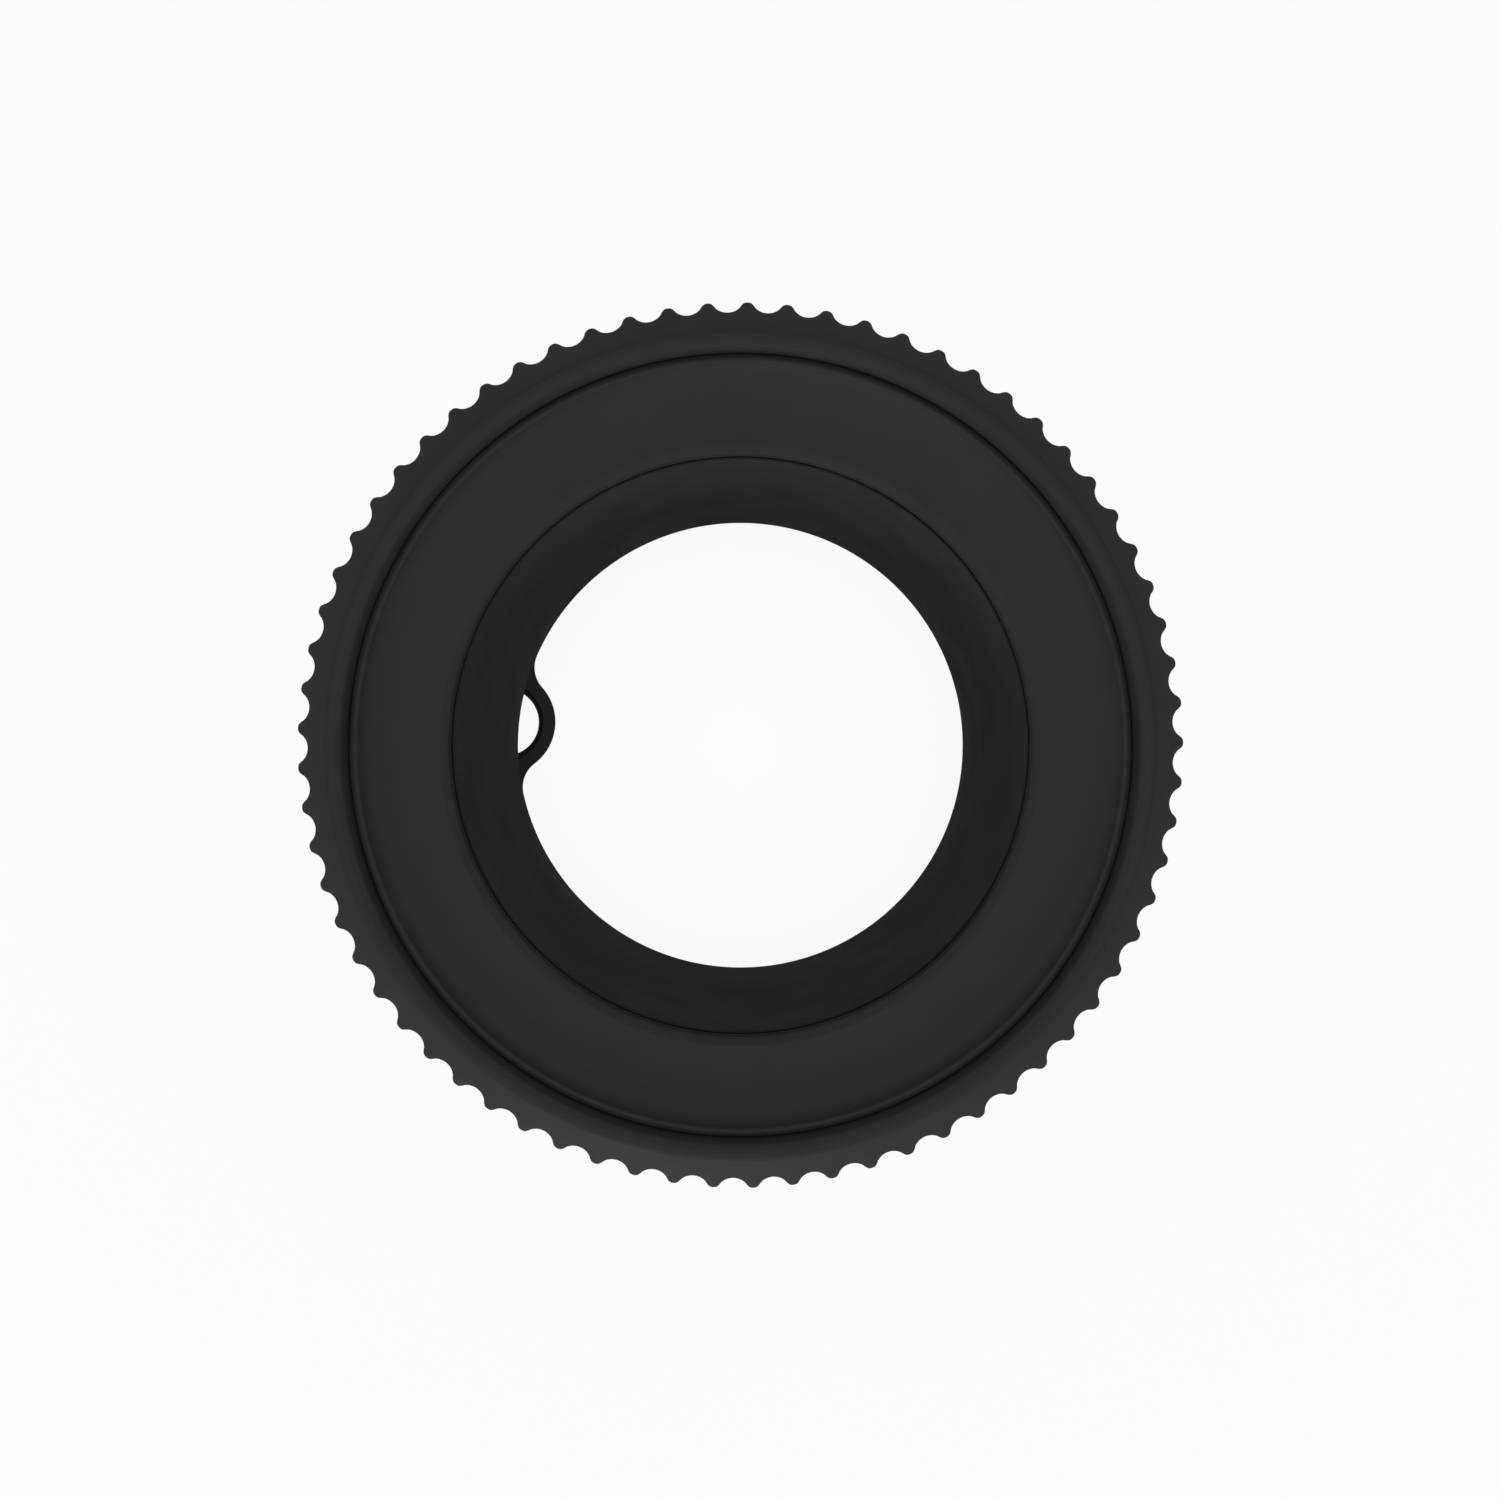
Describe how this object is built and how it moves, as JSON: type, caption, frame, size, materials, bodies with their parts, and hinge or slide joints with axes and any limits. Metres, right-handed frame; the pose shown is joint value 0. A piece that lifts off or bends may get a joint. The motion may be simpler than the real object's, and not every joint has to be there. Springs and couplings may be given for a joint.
{
  "type": "fence insulator",
  "caption": "Round-post fence insulator: black spool with a wire groove, clamped to the post by a knurled gland nut squeezing a rubber sleeve, with a swivelling tie eye in its base.",
  "frame": {"origin": "on the post's axis, in the plane of the body's foot", "axes": "+Z up the post towards the knurled nut; +Y is up in the view along the bore, and the tie eye lies near -X"},
  "size_m": [0.05, 0.05, 0.046],
  "materials": {
    "black_moulding": "fine matte moulded texture, ultraviolet-stable black",
    "slip_plastic": "smooth low-friction black",
    "black_rubber": "smooth matte rubber",
    "spring_steel": "plain stainless spring steel"
  },
  "bodies": {
    "insulator": {"insulator_body": "black_moulding", "sleeve_seat_ring": "slip_plastic", "grip_sleeve": "black_rubber", "eye_ring_retainer": "spring_steel"},
    "washer": {"slip_washer": "slip_plastic"},
    "nut": {"clamp_nut_core": "black_moulding", "knurled_grip_ring": "black_moulding"},
    "eye_ring": {"tie_eye_ring": "black_moulding"}
  },
  "joints": [
    {"name": "nut_travel", "type": "slide", "parent": "insulator", "child": "washer", "axis": [0, 0, 1], "range_m": [0, 0.0121]},
    {"name": "nut_turn", "type": "hinge", "parent": "washer", "child": "nut", "pos_m": [0, 0, 0.035], "axis": [0, 0, 1], "range_deg": [0, 1440]},
    {"name": "eye_swivel", "type": "hinge", "parent": "insulator", "child": "eye_ring", "pos_m": [0, 0, 0.002], "axis": [0, 0, 1], "continuous": true}
  ],
  "couplings": [
    {"joint": "nut_travel", "follows": "nut_turn", "m_per_rad": 0.00047746}
  ]
}
